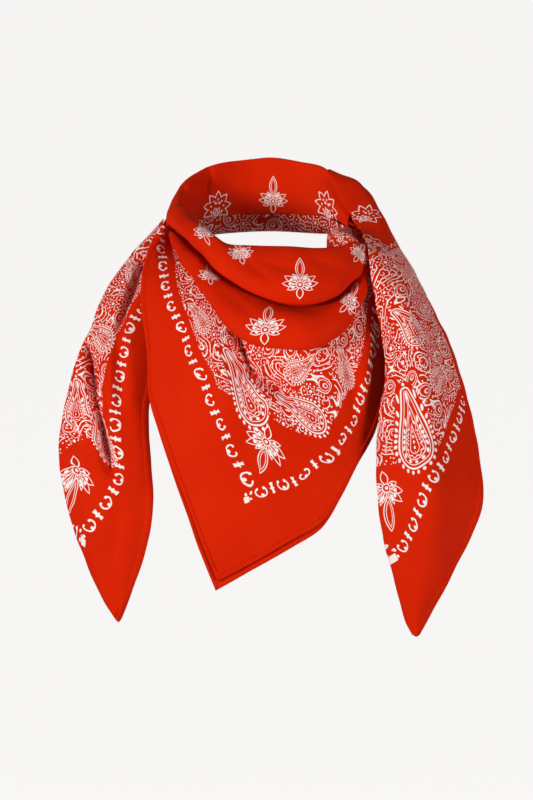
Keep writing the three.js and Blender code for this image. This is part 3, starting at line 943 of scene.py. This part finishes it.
def chain_ink(d, a):
    """The border chain: a hook and a waisted bar in turn, at an even distance from the hem."""
    b = CHAIN_AT - d
    hx = repeat(a - CHAIN_AT - CHAIN_STEP / 2, CHAIN_STEP)
    u = repeat(a - CHAIN_AT, CHAIN_STEP)
    turn = absolute(angle_of(hx, b + 0.01))
    bar = absolute(u) - 0.5 - absolute(b) * 0.2
    ink = larger(
        inked(away(hx, b) - 3.8, 0.55) * above(2.45 - turn, 0, 0.1),
        filled(away(absolute(hx) - 2.5, b + 2.4) - 0.95),
        filled(away(hx, b - 2.3) - 1.15),
        filled(larger(bar, absolute(b) - 4.0)),
        filled(absolute(b) * 1.2 + absolute(u) - 2.0),
    )
    return ink * above(a, CHAIN_AT + 4, 0.5)


def corner_ink(x, y):
    """The chain's corner piece: a small bud on the diagonal."""
    p = (x + y) * 0.7071 - CHAIN_AT * 1.4142
    q = absolute((x - y) * 0.7071)
    return larger(
        filled(q * 1.3 + absolute(p + 3.4) - 3.3),
        filled(away(q - 2.4, p + 1.2) - 1.0),
        filled(away(q, p - 2.4) - 1.2),
    )


def filler_ink(x, y):
    """The dense ground of the border: scrolling outlines, rosettes and drops among beads and hooks."""
    lx, ly, kind = cell_pattern(x, y, 19.0, 3.3)
    r = away(lx, ly)
    turn = angle_of(ly, lx) + kind * 6.28
    beads = repeat(turn, 2 * math.pi / 11) * r
    flower = larger(
        inked(r - 3.2 - 0.8 * sine(turn * 6), 0.27),
        filled(r - 1.1),
        filled(away(beads, r - 5.5) - 0.58),
    )
    squeezed = r * (1.0 + 0.42 * sine(turn))
    drop = larger(inked(squeezed - 5.2, 0.32), inked(squeezed - 3.6, 0.2), inked(squeezed - 1.4, 0.3))
    pick = above(kind, 0.5, 0.02)
    ink = flower * pick + drop * (1 - pick)
    outside = above(r, 6.7, 0.4)
    scroll = absolute(repeat(noise_of(x, y, 19.0, 31.7), 0.115))
    lines = above(0.0125 - scroll, 0, 0.005)
    near = above(scroll, 0.022, 0.004)
    sx, sy, small = cell_pattern(x, y, 4.3, 7.9)
    sr = away(sx, sy)
    hooks = inked(sr - 1.3, 0.26) * above(sine(angle_of(sy, sx) + small * 6.28), -0.45, 0.3)
    pick = above(small, 0.4, 0.02)
    fine = (hooks * pick + filled(sr - 0.62) * (1 - pick)) * near
    return larger(ink, larger(lines, fine) * outside)


def print_ink():
    """How much of the white print covers each place, from 0 to 1."""
    x, y = uv_mm("flat")
    shake = (noise_of(x, y, 4.0, 0.0) - 0.5) * 0.8
    x = x + shake
    y = y - shake
    d = smaller(x, y)
    a = larger(x, y)
    paisley, shape = paisley_ink(*uv_mm(PAISLEY))
    lotus_x, lotus_y = uv_mm(LOTUS)
    star_x, star_y = uv_mm(STAR)
    clear = above(shape, 3.2, 0.3) * above(away(lotus_x, lotus_y), 17, 0.5)
    zone = above(d, BAND_FROM, 0.5) * above(0 - d, -BAND_TO, 0.5) * above(x + y, CORNER_CUT, 0.5)
    rings = away(repeat(a, 8.0), d - BAND_TO + 3.6)
    ink = filler_ink(x, y) * clear * above(rings, 3.6, 0.3)
    ink = larger(ink, inked(rings - 2.4, 0.36), filled(rings - 0.9)) * zone
    zig = absolute(repeat(a, 8.0)) * 0.8
    return larger(
        ink,
        inked(d - BAND_TO - 1.8 - zig, 0.4),
        chain_ink(d, a),
        corner_ink(x, y),
        paisley,
        lotus_ink(lotus_x, lotus_y),
        star_ink(star_x, star_y),
    )


RED = (0.70, 0.0165, 0.0006, 1)
RED_DEEP = (0.61, 0.0115, 0.0004, 1)
WHITE = (0.97, 0.90, 0.85, 1)
THREAD_PITCH = 0.55
CLOTH_SHADING = {
    "Roughness": 0.66,
    "Specular IOR Level": 0.10,
    "Specular Tint": (1.0, 0.5, 0.2, 1),
    "Sheen Weight": 0.04,
    "Sheen Roughness": 0.4,
    "Sheen Tint": (1.0, 0.25, 0.05, 1),
}


def mixed(share, low, high):
    """A colour between low and high. Each of them is a colour or an output that gives one."""
    node = add_node("Mix")
    node.data_type = "RGBA"
    link(share.socket, node.inputs[0])
    for slot, colour in ((node.inputs[6], low), (node.inputs[7], high)):
        if isinstance(colour, tuple):
            slot.default_value = colour
        else:
            link(colour, slot)
    return node.outputs[2]


def ground_colour():
    """Slightly cloudy red."""
    cloudy = noise_at(add_node("TexCoord").outputs["Object"], 16, 3, "3D")
    return mixed(above(cloudy, 0.42, 0.5), RED_DEEP, RED)


def weave_height(x, y):
    """The ups and downs of a plain weave, from 0 to 1."""
    warp, weft = (sine(v * (2 * math.pi / THREAD_PITCH)) for v in (x, y))
    return warp * weft * 0.5 + 0.5


def woven_normal(x, y, weave):
    """The weave and its slubs, which are thick places in the thread, as a slight relief."""
    slub = noise_at(vector_of(x * 0.25, y * 2.2), detail=2)
    bump = add_node("Bump", Strength=0.22, Distance=0.0002)
    link((weave * 0.5 + slub * 0.8).socket, bump.inputs["Height"])
    return bump.outputs[0]


def cloth_material(name, printed=True):
    material = bpy.data.materials.new(name)
    material.use_nodes = True
    Value.tree = material.node_tree
    Value.tree.nodes.clear()
    out = add_node("OutputMaterial")
    shader = add_node("BsdfPrincipled", **CLOTH_SHADING)
    link(shader.outputs[0], out.inputs[0])
    colour = ground_colour()
    x, y = uv_mm("flat")
    weave = weave_height(x, y)
    if printed:
        colour = mixed(print_ink() * (0.93 + weave * 0.05), colour, WHITE)
    link(colour, shader.inputs["Base Color"])
    link(woven_normal(x, y, weave), shader.inputs["Normal"])
    return material


# The hem's section: distances in from its edge, and up from the middle of the cloth
HEM_OVER_EDGE = 0.2
HEM_SECTION = (
    (0.0, 0.0), (0.25, 0.62), (0.75, 0.85), (HEM_WIDTH - 0.8, 0.80), (HEM_WIDTH, 0.40),
    (HEM_WIDTH, -0.40), (HEM_WIDTH - 0.8, -0.80), (0.75, -0.85), (0.25, -0.62),
)
STITCH_PITCH = 3.2
STITCH_LENGTH = 2.0
STITCH_HALF_WIDTH = 0.22
STITCH_FROM_INNER_EDGE = 1.6
STITCH_LIFT = (0.88, 1.22, 0.88)


def tube_sides(base, rings, count):
    """Side faces of a tube of rings with count points each. Its first point has the index base."""
    return [
        (low + j, low + (j + 1) % count, low + count + (j + 1) % count, low + count + j)
        for low in range(base, base + (rings - 1) * count, count)
        for j in range(count)
    ]


def hem_strip(name, edges, material):
    """The turned hem: a thin doubled strip along each edge line."""
    points, faces = [], []
    count = len(HEM_SECTION)
    for edge, inward, normal in edges:
        base = len(points)
        for p, a, n in zip(edge, inward, normal):
            points += [p + a * (reach - HEM_OVER_EDGE) + n * lift for reach, lift in HEM_SECTION]
        faces += tube_sides(base, len(edge), count)
        faces.append(tuple(base + j for j in range(count)))
        faces.append(tuple(base + (len(edge) - 1) * count + j for j in reversed(range(count))))
    return new_piece(name, points, faces, material)


def edge_frames(g, column, step, span):
    """An edge line of a grid, the way into the cloth from it, and its normal."""
    n = normals(g)
    lo, hi = span
    edge = g[lo:hi, column]
    a = unit(g[lo:hi, column + step * 4] - edge)
    nn = n[lo:hi, column + step]
    return edge, unit(a - (a * nn).sum(1)[:, None] * nn), nn


def stitches(name, edges, material):
    """A row of thread stitches along each hem, near its inner edge, on the outer face."""
    half = STITCH_HALF_WIDTH
    points, faces = [], []
    for edge, inward, normal, side in edges:
        at = arc_length(edge)

        def found(values, s):
            return np.array([np.interp(s, at, values[:, k]) for k in range(3)])

        def seam(s):
            return found(edge, s) + found(inward, s) * (HEM_WIDTH - STITCH_FROM_INNER_EDGE)

        for start in np.arange(STITCH_PITCH, at[-1] - STITCH_PITCH, STITCH_PITCH):
            first, last = seam(start), seam(start + STITCH_LENGTH)
            a, n = found(inward, start), found(normal, start) * side
            base = len(points)
            for share, lift in zip((0.0, 0.5, 1.0), STITCH_LIFT):
                p = first * (1 - share) + last * share
                for across, up in ((-half, 0), (0, half), (half, 0), (0, -half)):
                    points.append(p + a * across + n * (lift + up))
            faces += tube_sides(base, len(STITCH_LIFT), 4)
            faces.append((base, base + 3, base + 2, base + 1))
            faces.append((base + 8, base + 9, base + 10, base + 11))
    return new_piece(name, points, faces, material)


# Grid sizes of the sheets, along and across, and of the coarse grids that are laid out flat
FINE_LOOP = (300, 84)
FINE_LOWER = (200, 64)
FINE_WRAP = (200, 50)
FINE_GATHER = (80, 56)
FINE_PANEL = (230, 110)
FINE_END = (190, 130)
COARSE_PANEL = (40, 18)
COARSE_END = (32, 29)
END_ROUNDS = 60
# An end's columns run from its hem to its fold and back: the front layer takes this share of them
FRONT_SHARE = 4 / 7
# Flat places of the plain stretches: far along the hem, with this column at this distance from it
FAR_ALONG = 1000
LAID_OUT = {"loop": (17, 275), "cowl_lower": (32, 300), "wrap": (12, 195), "gather": (25, 190)}
# Where the panels' hems meet, as a share of their length
CORNER_SHARE = PANEL_CORNER / (len(FRONT_PANEL) - 1)
# A panel's hems start this many grid rows in, and an end's hem at this share of its length
HEM_ROWS_IN = 6
END_HEM_FROM = 0.3


def panel_rules(corner):
    """The left hem lies on flat x = 0 and the lower hem on y = 0, but not up at the shoulders."""
    rules = hem_rules(0.42 * corner, corner, 12, 1.0, (1, 0), 3.0)
    return rules + hem_rules(corner, 0.86, 12, 1.0, (0, 1), 3.0)


def area_of(g):
    one = np.cross(g[1:, :-1] - g[:-1, :-1], g[:-1, 1:] - g[:-1, :-1])
    two = np.cross(g[1:, :-1] - g[1:, 1:], g[:-1, 1:] - g[1:, 1:])
    return float(np.linalg.norm(one, axis=2).sum() + np.linalg.norm(two, axis=2).sum()) / 2


def add_sheet(name, g, flat, nodes, material, held="draped", rests_on=(), with_pieces=(), upto=1.0):
    piece = cloth_shell(f"cloth_{name}", g, flat, material, MOTIFS.get(name, ()), upto)
    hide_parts(*nodes)
    size = np.ptp(flat.reshape(-1, 2), axis=0) * MM
    area = area_of(g) * MM * MM
    spare = max(1.0, math.sqrt(area / (size[0] * size[1])))
    size = [float(v) * spare for v in size]


def add_plain(name, g, nodes, material, **said):
    """A sheet whose print needs no rules: it is laid out by arc length."""
    middle, from_hem = LAID_OUT[name]
    add_sheet(name, g, arc_layout(g, middle, FAR_ALONG, from_hem), nodes, material, **said)


def add_loop(cloth):
    g = rippled(pressed(grid(loop_columns(), *FINE_LOOP), CREASES["loop"]), SEEDS["loop"])
    add_plain("loop", g, ("neck_band", "cowl_upper"), cloth, rests_on=["cloth_cowl_lower", "cloth_wrap"])


def add_lower_roll(cloth):
    columns = with_hidden(table_columns(COWL_LOWER), (0, 3, 9), 0.2)
    g = rippled(pressed(grid(columns, *FINE_LOWER), CREASES["cowl_lower"]), SEEDS["cowl_lower"])
    add_plain("cowl_lower", g, ("cowl_lower",), cloth, rests_on=["cloth_panel"])


def add_wrap(cloth):
    add_plain("wrap", grid(wrap_columns(), *FINE_WRAP), ("neck_wrap",), cloth)


def add_gather(cloth):
    columns = with_hidden(table_columns(GATHER_ROLL)[::-1], (13, 7, 7), 1.0)
    g = rippled(grid(columns, *FINE_GATHER), SEEDS["gather"], LOW_WAVES)
    add_plain("gather", g, ("gather_roll",), cloth, held="gathered", rests_on=["cloth_wrap"])


def panel_arms(g, corner):
    """The frames of the panel's two hems, which meet at row corner."""
    spans = ((HEM_ROWS_IN, corner + 1), (corner, len(g) - HEM_ROWS_IN))
    return [edge_frames(g, -1, -1, span) for span in spans]


def add_panel(cloth, thread):
    g = panel_grid(*FINE_PANEL)
    flat = spread_flat(g, panel_rules(CORNER_SHARE) + print_rules(g, "panel"), COARSE_PANEL)
    arms = panel_arms(g, round((len(g) - 1) * CORNER_SHARE))
    hem = hem_strip("hem_panel", arms, thread)
    sewn = stitches("stitches_panel", [(*arm, -1) for arm in arms], thread)
    add_sheet("panel", g, flat, ("front_panel",), cloth, rests_on=["cloth_under"], with_pieces=[hem, sewn])


def add_under(cloth, thread):
    g = under_grid(*FINE_PANEL)
    trim = round(FINE_PANEL[0] * UNDER_TRIM)
    corner = CORNER_SHARE * (FINE_PANEL[0] - 1)
    flat = spread_flat(g, panel_rules((corner - trim) / (len(g) - 1)), COARSE_PANEL)
    hem = hem_strip("hem_under", panel_arms(g, round(corner) - trim), thread)
    add_sheet("under", g, flat, ("front_under",), cloth, with_pieces=[hem])


def add_end(name, table, cloth, thread):
    g = end_grid(table, CREASES[name], *FINE_END)
    rules = print_rules(g, name, FRONT_SHARE)
    rules += hem_rules(0.75, 1, 10, 0.0, (0, 1), 2.0)
    rules += hem_rules(0.86, 1, 6, FRONT_SHARE, (1, -1), 1.0)
    rules += hem_rules(0.86, 1, 6, 1.0, (1, 0), 1.0)
    guess = arc_layout(g[::-1], 0, 0.0, 0.0)[::-1]
    flat = spread_flat(g, rules, COARSE_END, guess, END_ROUNDS)
    arm = edge_frames(g, 0, 1, (round(FINE_END[0] * END_HEM_FROM), FINE_END[0] - 3))
    hem = hem_strip(f"hem_{name}", [arm], thread)
    sewn = stitches(f"stitches_{name}", [(*arm, 1)], thread)
    add_sheet(name, g, flat, (name,), cloth, rests_on=["cloth_wrap"], with_pieces=[hem, sewn],
              upto=FRONT_SHARE)


def build_cloth():
    cloth = cloth_material("printed cotton")
    thread = cloth_material("hem thread", printed=False)
    add_loop(cloth)
    add_lower_roll(cloth)
    add_wrap(cloth)
    add_gather(cloth)
    add_panel(cloth, thread)
    add_under(cloth, thread)
    add_end("end_left", END_LEFT, cloth, thread)
    add_end("end_right", END_RIGHT, cloth, thread)


# The stage, in metres. Lights: place, size, power.
FLOOR_AT = -0.9
FLOOR_RADIUS = 220
FLOOR_SHADING = {
    "Base Color": (0.93, 0.925, 0.915, 1),
    "Roughness": 0.95,
    "Specular IOR Level": 0.1,
    "Emission Color": (1.0, 0.99, 0.98, 1),
    "Emission Strength": 0.72,
}
WORLD_COLOUR = (1.0, 0.985, 0.965, 1)
WORLD_STRENGTH = 0.12
LIGHTS = {"key": ((-1.9, -1.75, 0.2), 0.5, 51), "fill": ((1.9, -1.9, -0.4), 1.0, 38)}
LIGHTS_AIM = (0, 0, -0.12)
OVERHEAD_STRENGTH = 0.3
OVERHEAD_ANGLE = 0.5


def build_floor():
    """A floor so wide that it fills the view. It doesn't light the cloth."""
    bpy.ops.mesh.primitive_circle_add(
        vertices=64, radius=FLOOR_RADIUS, fill_type="NGON", location=(0, 0, FLOOR_AT)
    )
    floor = bpy.context.object
    floor.name = "floor"
    paint = bpy.data.materials.new("pale floor")
    paint.use_nodes = True
    shader = paint.node_tree.nodes["Principled BSDF"]
    for name, value in FLOOR_SHADING.items():
        shader.inputs[name].default_value = value
    floor.data.materials.append(paint)
    floor.visible_diffuse = False


def build_light():
    world = bpy.data.worlds.new("studio")
    bpy.context.scene.world = world
    world.use_nodes = True
    background = world.node_tree.nodes["Background"]
    background.inputs[0].default_value = WORLD_COLOUR
    background.inputs[1].default_value = WORLD_STRENGTH
    for name, (where, size, power) in LIGHTS.items():
        data = bpy.data.lights.new(name, "AREA")
        data.size = size
        data.energy = power
        lamp = new_object(name, data)
        lamp.location = where
        aim = Vector(LIGHTS_AIM) - Vector(where)
        lamp.rotation_euler = aim.to_track_quat("-Z", "Y").to_euler()
    sky = bpy.data.lights.new("overhead", "SUN")
    sky.energy = OVERHEAD_STRENGTH
    sky.angle = OVERHEAD_ANGLE
    new_object("overhead", sky)


# The photo's frame, in pixels, and the camera
PIXEL = 0.78 * MM
FRAME_CENTRE = (266.5, 400)
ORIGIN_PIXEL = (270, 240)
FRAME_HEIGHT = 800
CAMERA_DISTANCE = 24.0
PLANE_DEPTH = -0.05
SENSOR = 24.0


def build_camera():
    seen_x = (FRAME_CENTRE[0] - ORIGIN_PIXEL[0]) * PIXEL
    seen_h = (ORIGIN_PIXEL[1] - FRAME_CENTRE[1]) * PIXEL
    height = (seen_h - PLANE_DEPTH * math.sin(VIEW_TILT)) / math.cos(VIEW_TILT)
    target = Vector((seen_x, PLANE_DEPTH, height))
    ahead = Vector((0, math.cos(VIEW_TILT), -math.sin(VIEW_TILT)))
    data = bpy.data.cameras.new("camera")
    data.sensor_fit = "VERTICAL"
    data.sensor_height = SENSOR
    data.lens = SENSOR * CAMERA_DISTANCE / (FRAME_HEIGHT * PIXEL)
    data.clip_end = 500
    camera = new_object("camera", data)
    camera.location = target - ahead * CAMERA_DISTANCE
    camera.rotation_euler = ahead.to_track_quat("-Z", "Y").to_euler()
    bpy.context.scene.camera = camera


build_camera()
build_floor()
build_light()
build_cloth()
bpy.context.scene.view_settings.view_transform = "Standard"
